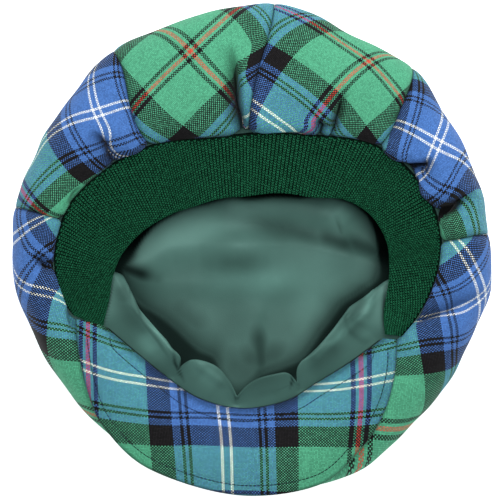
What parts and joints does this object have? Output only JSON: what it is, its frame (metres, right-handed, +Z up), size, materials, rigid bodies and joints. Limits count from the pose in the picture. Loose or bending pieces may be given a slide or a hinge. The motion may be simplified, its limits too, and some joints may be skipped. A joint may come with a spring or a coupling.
{
  "type": "flat cap",
  "caption": "Soft tartan cap with a puffed panelled crown, a stiff peak, a ribbed knit band and a satin lining, lying upside down on its crown.",
  "frame": {"origin": "on the floor, under the middle of the cap's outline", "axes": "+X to the right of the picture, +Y to the back of the cap (up in the picture), +Z up through the opening; the cap lies upside down on its crown"},
  "size_m": [0.2798, 0.2884, 0.0584],
  "materials": {
    "tartan": "matt wool twill in a blue, green and black tartan with white and red lines",
    "knit": "dark green rib knit",
    "satin": "soft green satin"
  },
  "bodies": {
    "root": {"crown_panel_right_back": "tartan", "crown_panel_back_right": "tartan", "crown_panel_back_left": "tartan", "crown_panel_left_back": "tartan", "crown_panel_left_front": "tartan", "crown_panel_front": "tartan", "crown_panel_right_front": "tartan", "peak": "tartan", "knit_band": "knit", "lining": "satin"}
  },
  "joints": []
}
